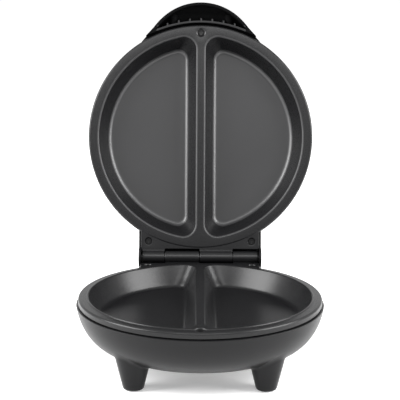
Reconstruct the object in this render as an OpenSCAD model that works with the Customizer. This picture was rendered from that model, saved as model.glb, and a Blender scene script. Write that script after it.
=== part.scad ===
// Electric omelette maker with two half-moon wells in each hinged plate.
// Units are millimetres. +Z is up, the front is at -Y and the hinge at +Y.
// The lid is drawn closed and then turned back about the hinge pin.

/* [Casings] */
// Distance that the base casing's rim stands out past the plates' edge
base_rim_over = 1.5; // [1.2:0.1:3]
// Distance that the lid casing's rim stands out past the plates' edge
lid_rim_over = 0.3; // [0.1:0.1:1.5]
// Wall thickness of both casings
casing_wall = 2.4; // [2:0.1:2.8]
// Height of the bowl's underside above the table
ground_clearance = 18.5; // [16:0.5:22]
// Depth of the bowl below its rim
base_depth = 35; // [34:0.5:40]
// Depth of the lid's dome from its rim
lid_depth = 29; // [28:0.5:33]
// Radius of the arc that forms a casing's side
side_r = 48; // [44:0.5:48]
// Height of that arc's centre past the rim
side_rise = 6.1; // [4:0.1:7]
// Radius where the bowl's side turns into its bottom
base_corner_r = 33.4; // [31:0.2:34]
// Radius where the dome's side turns into its top
lid_corner_r = 25.4; // [23:0.2:26]

/* [Legs] */
// Sideways distance of a front leg from the middle
front_leg_x = 50.6; // [46:0.5:54]
// Distance of a front leg in front of the bowl's axis
front_leg_y = 52; // [48:0.5:56]
// Sideways distance of a rear leg from the middle
rear_leg_x = 37; // [30:0.5:37]
// Radius of a leg at the table
leg_tip_r = 7.8; // [7:0.1:8]
// Flare of a leg's side from upright, in degrees
leg_flare = 13.6; // [12:0.1:14]
// Rounding of a leg's tip
leg_fillet = 2.6; // [2:0.1:2.8]
// Radius of the rubber pad in a leg's tip
pad_r = 3.8; // [3:0.1:4]
// Thickness of the rubber pad
pad_t = 2; // [1.8:0.1:2.4]
// Distance that the pad stands out of the tip
pad_proud = 0.4; // [0.3:0.1:0.8]

/* [Cooking plates] */
// Outer radius of both plates
plate_r = 96; // [95:0.5:97]
// Thickness of a plate's flange
flange_t = 3; // [2.8:0.1:3.4]
// Thickness of the skirt round a plate's edge
skirt_t = 2.2; // [1.8:0.1:2.4]
// Height of the skirt, from the flange's face
skirt_h = 4.9; // [4.5:0.1:5.5]
// Rounding of the flange's outer edge
plate_edge_r = 1.8; // [1:0.1:2.2]
// Shadow gap between a skirt and its casing
seam_gap = 0.8; // [0.5:0.1:1.2]
// Distance of the wells' mouth inside the plates' edge
mouth_in = 8.5; // [8:0.1:10]
// Distance of the wells' floor inside their mouth
floor_in = 9.2; // [8:0.1:10.5]
// Depth of a well below the flange's face
well_depth = 16; // [14:0.5:17]
// Width of the divider's top
divider_w = 7.2; // [6:0.2:8.4]
// Width of the divider at the wells' floor
divider_foot_w = 24; // [21:0.5:26]
// Corner radius of a well's mouth, seen from above
mouth_corner_r = 11; // [9:0.5:13]
// Corner radius of a well's floor, seen from above
floor_corner_r = 8; // [6:0.5:9]
// Rounding between a well's wall and its floor
floor_fillet = 2.4; // [1.5:0.1:3]
// Wall thickness of a well
well_wall = 2.5; // [2.2:0.1:2.8]
// Height of the bead round the lower plate's mouth
bead_h = 0.8; // [0.5:0.1:1.2]
// Width of that bead
bead_w = 1.8; // [1.4:0.1:2.2]
// Gap left between the two plates when the lid is shut
closed_gap = 0.4; // [0.3:0.1:0.8]

/* [Hinge] */
// Distance of the hinge axis behind the plates' edge
hinge_back = 7.5; // [7.3:0.1:9]
// Height of the hinge axis above the upper plate's face
hinge_rise = 1.6; // [1.2:0.1:2]
// Angle between the shut lid and the open lid
open_angle = 105.5; // [100:0.5:107]
// Radius of the cast knuckles
knuckle_r = 5.2; // [4.8:0.1:5.3]
// Radius of the hinge pin
pin_r = 2; // [1.7:0.05:2.4]
// Play between the pin and a knuckle's bore
pin_play = 0.05; // [0.03:0.01:0.08]
// Length of the four knuckles together
knuckle_span = 99.2; // [98:0.2:102]
// Length of the left knuckle, on the upper plate
left_knuckle_w = 19.6; // [17:0.2:22]
// Length of the next knuckle, on the lower plate
second_knuckle_w = 29.5; // [27:0.5:32]
// Length of the third knuckle, on the upper plate
third_knuckle_w = 28.5; // [26:0.5:31]
// Gap between neighbouring knuckles
knuckle_gap = 0.4; // [0.3:0.1:0.8]
// Thickness of the lid's cheeks beside the knuckles
cheek_t = 1.6; // [1.4:0.1:2]
// Radius of the lid's hinge cover round the axis
cover_r = 8; // [7.8:0.1:8.3]
// Slope of the hinge cover above the lid's rim, in degrees
cover_slope = 25; // [22:0.5:28]
// Depth of the hinge housing below the bowl's rim
housing_depth = 27.5; // [25:0.5:29]

/* [Handle] */
// Distance that the handle stands out past the plates' edge
handle_out = 19.8; // [18:0.2:22]
// Radius of the handle's nose
handle_nose_r = 48.5; // [45:0.5:50]
// Angle of the nose's arc to each side, in degrees
handle_nose_angle = 51.3; // [48:0.5:54]
// Height of the handle
handle_h = 17; // [16:0.5:18]
// Wall thickness of the handle
handle_wall = 2.2; // [1.8:0.1:2.6]
// Gap between the plates' edge and the handle's back wall
handle_gap = 2.4; // [2:0.1:3]
// Number of ribs in the handle's underside
rib_count = 9; // [5:2:11]
// Spacing of those ribs
rib_pitch = 9.65; // [9.4:0.05:9.8]
// Thickness of a rib
rib_t = 1.3; // [1:0.1:1.6]

/* [Heating] */
// Distance of the heating element's ring inside the plates' edge
element_in = 44; // [42:0.5:45]
// Radius of the element's steel tube
tube_r = 3.25; // [3:0.05:3.5]
// Half the angle of the gap in the ring, in degrees
element_gap = 16; // [15:0.5:20]
// Bend radius where the ring turns into its cold ends
bend_r = 8; // [7:0.5:8]
// Distance of the heat shields' edge inside the plates' edge
shield_in = 38; // [37.5:0.5:39]
// Sheet thickness of the heat shields
shield_t = 0.6; // [0.5:0.1:1]

/* [Fasteners and lamps] */
// Shank radius of the plate screws
screw_r = 1.5; // [1.3:0.05:1.7]
// Head radius of the plate screws
screw_head_r = 2.6; // [2.5:0.05:2.8]
// Bore radius of the cord gland
gland_bore_r = 3.5; // [3:0.1:4]
// Radius of a lamp lens
lens_r = 4; // [3:0.1:4.5]
// Distance between the two lenses
lens_pitch = 24; // [20:0.5:26]

/* [Hidden] */
$fn = 96;

// Radii that follow the plates' edge
base_rim_r = plate_r + base_rim_over;
lid_rim_r = plate_r + lid_rim_over;
mouth_r = plate_r - mouth_in;
floor_r = mouth_r - floor_in;
element_r = plate_r - element_in;
shield_r = plate_r - shield_in;

// Heights, from the table up
base_rim_z = ground_clearance + base_depth;
lower_face_z = base_rim_z + seam_gap + skirt_h;
upper_face_z = lower_face_z + bead_h + closed_gap;
lid_rim_z = upper_face_z + skirt_h + seam_gap;
hinge_z = upper_face_z + hinge_rise;
hinge_y = plate_r + hinge_back;
// Height of a plate's flange back over its casing's rim
lip_h = seam_gap + skirt_h - flange_t;
// Depth of a well's outside below the flange's face
well_back = well_depth + well_wall;

// Hinge housing
running_gap = 0.3;
step_h = 0.5;
tab_half = knuckle_span / 2 + 0.9;
cheek_in = tab_half + running_gap;
housing_half = cheek_in + cheek_t;
sweep_gap = knuckle_r + 0.5;
cover_in = knuckle_r + 0.6;
back_wall_y = hinge_y + cover_r + running_gap;
housing_y = back_wall_y + casing_wall;
housing_floor_z = base_rim_z - housing_depth;
housing_front_y = 60;
housing_corner_r = 8;
// The housing's edge lies this far below the bowl's rim
housing_drop = 0.5;
outlet_z = housing_floor_z + 10;
rear_leg_y = hinge_y - 7.5;
// The open lid's cover comes to rest against the top of the housing's back wall
open_normal = 90 - cover_slope - open_angle;
stop_rise = (cos(open_normal) * (cover_r + running_gap) - cover_r) / -sin(open_normal) - 0.5;

// Plate screws: one between the wells in front, two in the hinge tab
front_screw_y = -(plate_r - 6.5);
tab_screw_x = tab_half - 6.5;
tab_screw_y = hinge_y - 13.5;
boss_r = 4;
boss_rib_t = 2;
screw_l = 10;
head_sink = 0.6;
shank_play = 0.05;

// Heating
tube_play = 0.1;
tube_z = -well_back - tube_r - 3 * tube_play;
channel_h = 4;
channel_wall = 2;
cold_end_l = 9;
shield_z = well_back + 2 * tube_r + 2.6;
shield_screw_x = 38;
shield_screw_y = 22;
shield_lip_h = 4;
shield_screw_l = 4.4;

// Overall depth, from the base's rim to the open lid's farthest point, sets the origin
lid_arc_x = lid_rim_r - sqrt(side_r * side_r - side_rise * side_rise);
lid_lean = asin((side_rise + lid_depth - lid_corner_r) / (side_r - lid_corner_r));
lid_flat_r = lid_arc_x + (side_r - lid_corner_r) * cos(lid_lean);
crown_back = [-hinge_y - lid_flat_r, lid_rim_z + lid_depth - lid_corner_r - hinge_z];
rear_reach = hinge_y + crown_back[0] * cos(open_angle) + crown_back[1] * sin(open_angle) + lid_corner_r;
middle_y = (rear_reach - base_rim_r) / 2;

// Places a piece of the base half in the part's frame
module in_base() {
  translate([0, -middle_y, 0]) children();
}

// Turns a piece of the shut lid back about the hinge pin
module in_lid() {
  in_base()
    translate([0, hinge_y, hinge_z])
      rotate([-open_angle, 0, 0])
        translate([0, -hinge_y, -hinge_z])
          children();
}

// Plate frames: the face is at 0 and the back points down, or up for the upper plate
module at_lower_plate() {
  translate([0, 0, lower_face_z]) children();
}
module at_upper_plate() {
  translate([0, 0, upper_face_z]) mirror([0, 0, 1]) children();
}

// Cylinder along X or Y, centred on its middle
module bar_x(r, l) {
  rotate([0, 90, 0]) cylinder(r = r, h = l, center = true);
}
module bar_y(r, l) {
  rotate([90, 0, 0]) cylinder(r = r, h = l, center = true);
}

// Half section of a casing, rim at 0 and bottom at -depth, its surface moved in by inset.
// A moved surface runs on past the rim, so that it cuts cleanly there.
module casing_profile(rim, depth, corner, inset) {
  past_rim = inset == 0 ? 0 : 1;
  wide = rim + side_r;
  arc_x = rim - sqrt(side_r * side_r - side_rise * side_rise);
  lean = asin((side_rise + depth - corner) / (side_r - corner));
  bend_y = side_rise - (side_r - inset) * sin(lean);
  flat_r = arc_x + (side_r - corner) * cos(lean);
  intersection() {
    translate([0, inset - depth]) square([wide, depth - inset + past_rim]);
    union() {
      translate([flat_r, corner - depth]) circle(corner - inset);
      translate([0, inset - depth]) square([flat_r, bend_y + depth - inset]);
      translate([0, bend_y]) square([arc_x, past_rim - bend_y]);
      intersection() {
        translate([arc_x, side_rise]) circle(side_r - inset);
        translate([arc_x / 2, bend_y]) square([wide, past_rim - bend_y]);
      }
    }
  }
}

// Solid bounded by a casing's surface, moved in by inset
module casing_solid(rim, depth, corner, inset) {
  rotate([0, 0, 90]) rotate_extrude() casing_profile(rim, depth, corner, inset);
}

// Upright lip inside the rim that carries the plate's flange
module seat_lip(rim, depth, corner) {
  lip_out = plate_r - skirt_t - 0.6;
  lip_in = lip_out - 1.8;
  web_t = 2.5;
  web_z = 4.5;
  rotate_extrude() {
    translate([lip_in, -web_z]) square([lip_out - lip_in, web_z + lip_h]);
    intersection() {
      casing_profile(rim, depth, corner, casing_wall / 2);
      translate([lip_in, -web_z - web_t]) square([rim - lip_in, web_t]);
    }
  }
}

// Boss for a plate screw at [x, y], from the casing's wall up to the flange's back
module plate_boss(x, y, down) {
  translate([x, y, -down]) cylinder(r = boss_r, h = down + lip_h);
}
module plate_screw_bores(depth) {
  for (p = [[0, front_screw_y], [-tab_screw_x, tab_screw_y], [tab_screw_x, tab_screw_y]])
    translate([p[0], p[1], lip_h - depth]) cylinder(r = screw_r + shank_play, h = depth + 1);
}

// Cast plates

// Outline of one well at a level: an arc, a straight side along the divider and two round corners
arc_steps = 32;
corner_steps = 6;
function well_outline(r, side_x, corner) =
  let (
    corner_x = side_x + corner,
    corner_y = sqrt((r - corner) * (r - corner) - corner_x * corner_x),
    turn = atan2(corner_y, corner_x)
  )
  concat(
    [for (i = [0 : arc_steps]) let (a = -turn + 2 * turn * i / arc_steps) [r * cos(a), r * sin(a)]],
    [for (i = [1 : corner_steps]) let (a = turn + (180 - turn) * i / corner_steps)
      [corner_x + corner * cos(a), corner_y + corner * sin(a)]],
    [for (i = [0 : corner_steps - 1]) let (a = 180 + (180 - turn) * i / corner_steps)
      [corner_x + corner * cos(a), -corner_y + corner * sin(a)]]
  );

module well_slice(z, r, side_x, corner) {
  slice_t = 0.01;
  translate([0, 0, z]) linear_extrude(slice_t) polygon(well_outline(r, side_x, corner));
}

// Hollow of the right-hand well, open up to rise above the flange's face
module well_hollow(rise) {
  draft_r = (mouth_r - floor_r) / well_depth;
  draft_x = (divider_foot_w - divider_w) / 2 / well_depth;
  draft_corner = (mouth_corner_r - floor_corner_r) / well_depth;
  fillet_in = floor_fillet * 0.62;
  hull() {
    well_slice(rise, mouth_r + draft_r * rise, divider_w / 2 - draft_x * rise,
      mouth_corner_r + draft_corner * rise);
    well_slice(floor_fillet - well_depth, floor_r + draft_r * floor_fillet,
      divider_foot_w / 2 - draft_x * floor_fillet, floor_corner_r + draft_corner * floor_fillet);
    well_slice(-well_depth, floor_r - fillet_in, divider_foot_w / 2 + fillet_in,
      floor_corner_r - fillet_in);
  }
}

// Outside of the right-hand well below the flange
module well_outside() {
  hull() {
    well_slice(-flange_t / 2, mouth_r + well_wall - 1, divider_w / 2 - well_wall + 1,
      mouth_corner_r + well_wall - 1);
    well_slice(-well_back, floor_r + well_wall - 1, divider_foot_w / 2 - well_wall + 1,
      floor_corner_r + well_wall - 1);
  }
}

module both_sides() {
  children();
  mirror([1, 0, 0]) children();
}

// Ends of the four knuckles along the pin
knuckle_ends = [
  -knuckle_span / 2,
  -knuckle_span / 2 + left_knuckle_w,
  -knuckle_span / 2 + left_knuckle_w + second_knuckle_w,
  -knuckle_span / 2 + left_knuckle_w + second_knuckle_w + third_knuckle_w,
  knuckle_span / 2
];

// Cast plate in its plate frame; owned lists its knuckles and axis_z the pin's height
module cooking_plate(owned, axis_z, bead) {
  web_back = 2;
  ring_in = element_r - tube_r - channel_wall;
  ring_out = element_r + tube_r + channel_wall;
  difference() {
    union() {
      rotate_extrude() {
        translate([0, -flange_t]) square([plate_r - plate_edge_r, flange_t]);
        translate([plate_r - skirt_t, -skirt_h]) square([skirt_t, skirt_h - plate_edge_r]);
        intersection() {
          translate([plate_r - plate_edge_r, -plate_edge_r]) circle(plate_edge_r);
          translate([0, -plate_edge_r]) square([plate_r, plate_edge_r]);
        }
      }
      if (bead > 0)
        cylinder(r = mouth_r + bead_w, h = bead);
      // Tab that reaches back to the hinge
      difference() {
        translate([-tab_half, housing_front_y, -skirt_h])
          cube([2 * tab_half, hinge_y - sweep_gap - housing_front_y, skirt_h - step_h]);
        translate([skirt_t - tab_half, 0, -skirt_h - 1])
          cube([2 * (tab_half - skirt_t), hinge_y, skirt_h - flange_t + 1]);
        translate([0, 0, -skirt_h - 1]) cylinder(r = plate_r - skirt_t, h = skirt_h + 2);
      }
      for (i = owned) {
        x0 = knuckle_ends[i] + knuckle_gap / 2;
        x1 = knuckle_ends[i + 1] - knuckle_gap / 2;
        translate([(x0 + x1) / 2, hinge_y, axis_z]) bar_x(knuckle_r, x1 - x0);
        translate([x0, hinge_y - sweep_gap - 1, -flange_t])
          cube([x1 - x0, sweep_gap + 1 - web_back, flange_t - step_h]);
      }
      both_sides() well_outside();
      // Channel that holds the element
      translate([0, 0, -well_back - channel_h]) difference() {
        cylinder(r = ring_out, h = channel_h + well_wall / 2);
        translate([0, 0, -1]) cylinder(r = ring_in, h = channel_h + well_wall + 2);
      }
      // Boss for the thermostat or the fuse clip
      translate([0, 0, -well_back]) cylinder(r = 5, h = well_back - flange_t / 2);
    }
    both_sides() well_hollow(bead + 1);
    translate([0, hinge_y, axis_z]) bar_x(pin_r + pin_play, knuckle_span + 2);
    for (p = [[0, front_screw_y], [-tab_screw_x, tab_screw_y], [tab_screw_x, tab_screw_y]])
      translate([p[0], p[1], 0]) {
        sink_z = -head_sink - (p[0] == 0 ? 0 : step_h);
        head_h = screw_head_r - screw_r;
        translate([0, 0, -flange_t - 1]) cylinder(r = screw_r + 2 * shank_play, h = flange_t + 3);
        translate([0, 0, sink_z]) cylinder(r = screw_head_r + shank_play, h = 3);
        translate([0, 0, sink_z - head_h])
          cylinder(r1 = screw_r + shank_play, r2 = screw_head_r + shank_play, h = head_h);
      }
    // Groove for the element's tube, and the gap where its cold ends leave
    groove_r = tube_r + tube_play;
    translate([0, 0, tube_z]) rotate_extrude() translate([element_r, 0]) {
      circle(groove_r);
      translate([-groove_r, -channel_h - groove_r]) square([2 * groove_r, channel_h + groove_r]);
    }
    gap_half = (element_r + tube_r) * sin(element_gap) + 1;
    translate([-gap_half, 0, -well_back - channel_h - 1]) cube([2 * gap_half, plate_r, channel_h + 1]);
    translate([0, 0, -well_back - 1]) cylinder(r = screw_r, h = 8);
  }
}

// Countersunk screws of one plate, in its plate frame
module plate_screws() {
  head_h = screw_head_r - screw_r;
  slot_w = 0.9;
  slot_l = 3.6;
  for (p = [[0, front_screw_y], [-tab_screw_x, tab_screw_y], [tab_screw_x, tab_screw_y]]) {
    top_z = -head_sink - (p[0] == 0 ? 0 : step_h);
    translate([p[0], p[1], top_z]) difference() {
      union() {
        translate([0, 0, -head_h]) cylinder(r1 = screw_r, r2 = screw_head_r, h = head_h);
        translate([0, 0, -screw_l]) cylinder(r = screw_r, h = screw_l - head_h / 2);
      }
      for (turn = [0, 90])
        rotate([0, 0, turn]) translate([-slot_l / 2, -slot_w / 2, -0.8]) cube([slot_l, slot_w, 1]);
    }
  }
}

// Pan-head screw hanging from z = 0, shank down
module pan_screw(head_r, head_h, shank_r, length) {
  cylinder(r = head_r, h = head_h);
  translate([0, 0, -length]) cylinder(r = shank_r, h = length + head_h / 2);
}

// Insulated lead: straight runs with round joints
joint_swell = 0.05;
module lead(path, r) {
  for (i = [0 : len(path) - 2]) {
    run = path[i + 1] - path[i];
    flat = norm([run[0], run[1]]);
    translate(path[i])
      rotate([0, atan2(flat, run[2]), atan2(run[1], run[0])])
        cylinder(r = r, h = norm(run), $fn = 24);
    if (i > 0)
      translate(path[i]) sphere(r = r + joint_swell, $fn = 24);
  }
}

// Where a cold end points straight back, in plan
cold_x = (element_r + bend_r) * sin(element_gap) - bend_r;
cold_y = (element_r + bend_r) * cos(element_gap);
pin_l = 9;

// Tubular element in its plate frame: a ring, two bends and two cold ends that point back
module heating_element() {
  pin_end_r = 1.3;
  bend_swell = 0.1;
  run_in = 0.5;
  run_in_angle = run_in / bend_r * 180 / PI;
  translate([0, 0, tube_z]) {
    rotate([0, 0, 90 + element_gap])
      rotate_extrude(angle = 360 - 2 * element_gap) translate([element_r, 0]) circle(tube_r);
    // Each bend is slightly fuller than the ring that runs into it, and each straight end than its bend
    both_sides() {
      translate([cold_x + bend_r, cold_y, 0]) rotate([0, 0, 180])
        rotate_extrude(angle = 90 - element_gap + run_in_angle) translate([bend_r, 0])
          circle(tube_r + bend_swell);
      translate([cold_x, cold_y + (cold_end_l - run_in) / 2, 0])
        bar_y(tube_r + 2 * bend_swell, cold_end_l + run_in);
      translate([cold_x, cold_y + cold_end_l + pin_l / 2, 0]) bar_y(pin_end_r, pin_l);
    }
  }
}

// Ceramic beads where the cold ends' pins leave the tube
module element_beads() {
  bead_l = 4;
  bead_r = 2.8;
  bead_bore_r = 1.4;
  bead_gap = 0.1;
  translate([0, cold_y + cold_end_l + bead_gap, tube_z]) both_sides()
    translate([cold_x, bead_l / 2, 0]) difference() {
      bar_y(bead_r, bead_l);
      bar_y(bead_bore_r, bead_l + 2);
    }
}

// Sheet tray behind the element, in its plate frame
module heat_shield() {
  notch_w = 34;
  notch_y = 36;
  difference() {
    translate([0, 0, -shield_z]) union() {
      translate([0, 0, -shield_t]) cylinder(r = shield_r, h = shield_t);
      difference() {
        translate([0, 0, -shield_t]) cylinder(r = shield_r, h = shield_t + shield_lip_h);
        cylinder(r = shield_r - shield_t, h = shield_lip_h + 1);
      }
    }
    translate([-notch_w / 2, notch_y, -shield_z - 2]) cube([notch_w, shield_r, shield_lip_h + 4]);
    for (x = [-shield_screw_x, shield_screw_x], y = [-shield_screw_y, shield_screw_y])
      translate([x, y, -shield_z - 2]) cylinder(r = 1.6, h = 4);
  }
}

module shield_screws() {
  for (x = [-shield_screw_x, shield_screw_x], y = [-shield_screw_y, shield_screw_y])
    translate([x, y, -shield_z]) pan_screw(2.6, 1.4, 1.2, shield_screw_l);
}

// Posts for a heat shield, from the casing's floor; drop is the floor's depth below the face
module shield_posts(drop) {
  for (x = [-shield_screw_x, shield_screw_x], y = [-shield_screw_y, shield_screw_y])
    translate([x, y, -drop]) difference() {
      cylinder(r = 3, h = drop - shield_z - shield_t);
      translate([0, 0, drop - shield_z - shield_t - 6.5]) cylinder(r = 1.25, h = 8);
    }
}

// Base half

leg_h = housing_floor_z + 3.5;
module leg_profile(inset) {
  centre_x = leg_tip_r - leg_fillet * (1 - sin(leg_flare)) / cos(leg_flare);
  side_x = centre_x + leg_fillet * cos(leg_flare);
  side_z = leg_fillet - leg_fillet * sin(leg_flare);
  top_x = leg_tip_r + leg_h * tan(leg_flare);
  difference() {
    translate([0, pad_proud]) union() {
      polygon([[0, 0], [centre_x, 0], [side_x, side_z], [top_x, leg_h], [0, leg_h]]);
      translate([centre_x, leg_fillet]) circle(leg_fillet);
    }
    // Only what lies inside the wall is left when an inset is asked for
    if (inset > 0)
      translate([-1, -1]) square([2 * leg_tip_r + leg_h, 1 + pad_t + casing_wall]);
  }
}
module leg_solid() {
  rotate_extrude() intersection() {
    leg_profile(0);
    square([4 * leg_tip_r, leg_h + pad_proud]);
  }
}
module leg_hollow() {
  floor_z = pad_t + casing_wall;
  slope = tan(leg_flare);
  wall = casing_wall / cos(leg_flare);
  translate([0, 0, floor_z])
    cylinder(r1 = leg_tip_r + (floor_z - pad_proud) * slope - wall,
      r2 = leg_tip_r + (leg_h - pad_proud) * slope - wall, h = leg_h - floor_z + pad_proud);
}
module at_legs() {
  for (side = [-1, 1]) {
    translate([side * front_leg_x, -front_leg_y, 0]) children();
    translate([side * rear_leg_x, rear_leg_y, 0]) children();
  }
}

// Plan of the hinge housing below the lower plate's tab, moved in by inset
module housing_plan(inset) {
  half = housing_half - inset;
  corner = housing_corner_r - inset;
  back = housing_y - inset;
  front = housing_front_y + inset;
  translate([-half, front]) square([2 * half, back - corner - front]);
  translate([corner - half, front]) square([2 * (half - corner), back - front]);
  for (x = [corner - half, half - corner])
    translate([x, back - corner]) circle(corner);
}

gland_flange_r = gland_bore_r + 4.5;
gland_neck_r = gland_bore_r + 2.4;
gland_flange_t = 2;
clamp_y = tab_screw_y - 2;
clamp_x = 11;
clamp_z = outlet_z + gland_bore_r + 0.2;
block_y = cold_y - 7.7;

module base_casing() {
  top = lower_face_z - flange_t;
  bore_depth = screw_l + 1;
  in_base() color("#3d3d3f") difference() {
    union() {
      difference() {
        union() {
          translate([0, 0, base_rim_z]) casing_solid(base_rim_r, base_depth, base_corner_r, 0);
          translate([0, 0, housing_floor_z]) linear_extrude(housing_depth - housing_drop) housing_plan(0);
          intersection() {
            at_legs() leg_solid();
            union() {
              cylinder(r = base_rim_r, h = housing_floor_z + casing_wall / 2);
              linear_extrude(housing_floor_z + casing_wall / 2) housing_plan(0.5);
            }
          }
          // Back wall that stops the open lid
          translate([-housing_half + housing_corner_r, back_wall_y, base_rim_z - 1])
            cube([2 * (housing_half - housing_corner_r), casing_wall, hinge_z + stop_rise - base_rim_z + 1]);
        }
        translate([0, 0, base_rim_z])
          casing_solid(base_rim_r, base_depth, base_corner_r, casing_wall);
        translate([0, 0, housing_floor_z + casing_wall])
          linear_extrude(housing_depth) housing_plan(casing_wall);
        at_legs() leg_hollow();
      }
      // Lip that carries the plate, left out inside the housing
      difference() {
        translate([0, 0, base_rim_z]) seat_lip(base_rim_r, base_depth, base_corner_r);
        translate([0, 0, housing_floor_z + casing_wall])
          linear_extrude(housing_depth + lip_h) housing_plan(casing_wall);
      }
      // Trough under the knuckles
      trough_y = hinge_y - sweep_gap;
      difference() {
        translate([-cheek_in, trough_y, base_rim_z - casing_wall - 1])
          cube([2 * cheek_in, back_wall_y + 0.5 - trough_y, casing_wall + 1]);
        translate([0, hinge_y, hinge_z]) bar_x(cover_r + running_gap, 2 * housing_half);
      }
      intersection() {
        translate([0, 0, base_rim_z]) plate_boss(0, front_screw_y, screw_l + 3);
        union() {
          translate([0, 0, base_rim_z]) casing_solid(base_rim_r, base_depth, base_corner_r, 0.5);
          translate([0, 0, base_rim_z]) cylinder(r = plate_r - skirt_t - 0.3, h = lip_h);
        }
      }
      for (x = [-tab_screw_x, tab_screw_x])
        translate([0, 0, base_rim_z]) plate_boss(x, tab_screw_y, housing_depth - 1);
      // Rib from each of these bosses to the housing's side wall
      for (side = [-1, 1])
        translate([side > 0 ? tab_screw_x : casing_wall / 2 - housing_half, tab_screw_y - boss_rib_t / 2,
          housing_floor_z + 1])
          cube([housing_half - casing_wall / 2 - tab_screw_x, boss_rib_t, housing_depth - 6]);
      translate([0, 0, lower_face_z])
        shield_posts(lower_face_z - ground_clearance - casing_wall / 2);
      // Posts for the cord clamp and feet for the terminal block
      for (x = [-clamp_x, clamp_x])
        translate([x, clamp_y, housing_floor_z + 1])
          cylinder(r = 3.4, h = clamp_z - housing_floor_z - 1);
    }
    for (x = [-clamp_x, clamp_x])
      translate([x, clamp_y, clamp_z - 8]) cylinder(r = 1.25, h = 9);
    translate([0, 0, base_rim_z]) plate_screw_bores(bore_depth);
    translate([0, housing_y, outlet_z]) bar_y(gland_neck_r + shank_play, 4 * casing_wall);
    at_legs() translate([0, 0, pad_proud - 1]) cylinder(r = pad_r + shank_play, h = pad_t + 1 - pad_proud);
  }
}

module foot_pads() {
  in_base() color("#1c1c1c") at_legs() cylinder(r = pad_r, h = pad_t);
}

module cord_gland() {
  in_base() color("#151515") translate([0, housing_y - casing_wall / 2, outlet_z]) difference() {
    union() {
      bar_y(gland_neck_r, casing_wall + 2 * gland_flange_t);
      for (side = [-1, 1])
        translate([0, side * (casing_wall + gland_flange_t) / 2, 0])
          bar_y(gland_flange_r - (side < 0 ? 1 : 0), gland_flange_t);
    }
    bar_y(gland_bore_r, 4 * gland_flange_t + casing_wall);
  }
}

clamp_t = 3;
module cord_clamp() {
  bar_l = 2 * clamp_x + 8;
  in_base() color("#d8d4c8") translate([0, clamp_y, clamp_z]) difference() {
    translate([-bar_l / 2, -3.5, 0]) cube([bar_l, 7, clamp_t]);
    for (x = [-clamp_x, clamp_x])
      translate([x, 0, -1]) cylinder(r = 1.6, h = clamp_t + 2);
  }
}

module cord_clamp_screws() {
  in_base() color("#b8b8b8") for (x = [-clamp_x, clamp_x])
    translate([x, clamp_y, clamp_z + clamp_t]) pan_screw(2.6, 1.6, 1.2, 9);
}

block_size = [28, 14, 8.5];
block_pitch = 9;
block_hole_r = 1.6;
module terminal_block() {
  floor_z = ground_clearance + casing_wall;
  in_base() color("#e6e2d6") translate([0, block_y, floor_z]) difference() {
    translate([-block_size[0] / 2, -block_size[1] / 2, 0]) cube(block_size);
    for (i = [-1 : 1]) {
      translate([i * block_pitch, 0, 4.2]) bar_y(block_hole_r, block_size[1] + 2);
      translate([i * block_pitch, -3.5, 4.2]) cylinder(r = 1.4, h = 9);
      translate([i * block_pitch, 3.5, 4.2]) cylinder(r = 1.4, h = 9);
    }
  }
}

lead_r = 1.1;
end_x = cold_x;
end_y = cold_y + cold_end_l + pin_l;
stat_size = [26, 14, 6];
module base_leads() {
  wire_z = ground_clearance + casing_wall + 4.2;
  front_y = block_y - block_size[1] / 2 + 3;
  back_y = block_y + block_size[1] / 2 - 3;
  low_z = lower_face_z - shield_z - shield_t - 3;
  stat_z = lower_face_z - well_back - stat_size[2] / 2;
  in_base() color("#c9b68a") both_sides() {
    lead([[block_pitch, back_y, wire_z], [block_pitch, back_y + 8, wire_z],
      [end_x, end_y + 5, wire_z + 5], [end_x, end_y + 5, lower_face_z + tube_z],
      [end_x, end_y, lower_face_z + tube_z]], lead_r);
    lead([[block_pitch, front_y, wire_z], [block_pitch, front_y - 6, wire_z],
      [block_pitch, front_y - 6, low_z], [block_pitch, front_y - 3, stat_z - 5],
      [block_pitch, stat_size[1] / 2 + 6, stat_z], [block_pitch, stat_size[1] / 2 + 4, stat_z]], lead_r);
  }
}

module lower_heat_shield() {
  in_base() color("#c4c6c8") at_lower_plate() heat_shield();
}
module lower_shield_screws() {
  in_base() color("#b8b8b8") at_lower_plate() shield_screws();
}

// Bimetal thermostat on the boss at the plate's middle
module thermostat() {
  in_base() color("#ddd8cc") at_lower_plate() difference() {
    union() {
      translate([-stat_size[0] / 2, -stat_size[1] / 2, -well_back - stat_size[2]]) cube(stat_size);
      for (x = [-block_pitch, block_pitch])
        translate([x, stat_size[1] / 2 + 1.9, -well_back - stat_size[2] / 2]) bar_y(1, 4);
    }
    translate([0, 0, -well_back - stat_size[2] - 1]) cylinder(r = screw_r + 0.1, h = stat_size[2] + 2);
  }
}
module thermostat_screw() {
  in_base() color("#b8b8b8") at_lower_plate()
    translate([0, 0, -well_back - stat_size[2]]) mirror([0, 0, 1])
      pan_screw(2.8, 1.4, screw_r - shank_play, stat_size[2] + 5);
}

module lower_heating_element() {
  in_base() color("#8d8f90") at_lower_plate() heating_element();
}
module lower_element_beads() {
  in_base() color("#f0ece0") at_lower_plate() element_beads();
}
module lower_cooking_plate() {
  in_base() color("#2f3032") at_lower_plate() cooking_plate([1, 3], hinge_z - lower_face_z, bead_h);
}
module lower_plate_screws() {
  in_base() color("#55575a") at_lower_plate() plate_screws();
}

module hinge_pin() {
  in_base() color("#a9abad") translate([0, hinge_y, hinge_z]) bar_x(pin_r, knuckle_span + 0.6);
}

// Lid half, drawn shut

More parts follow.
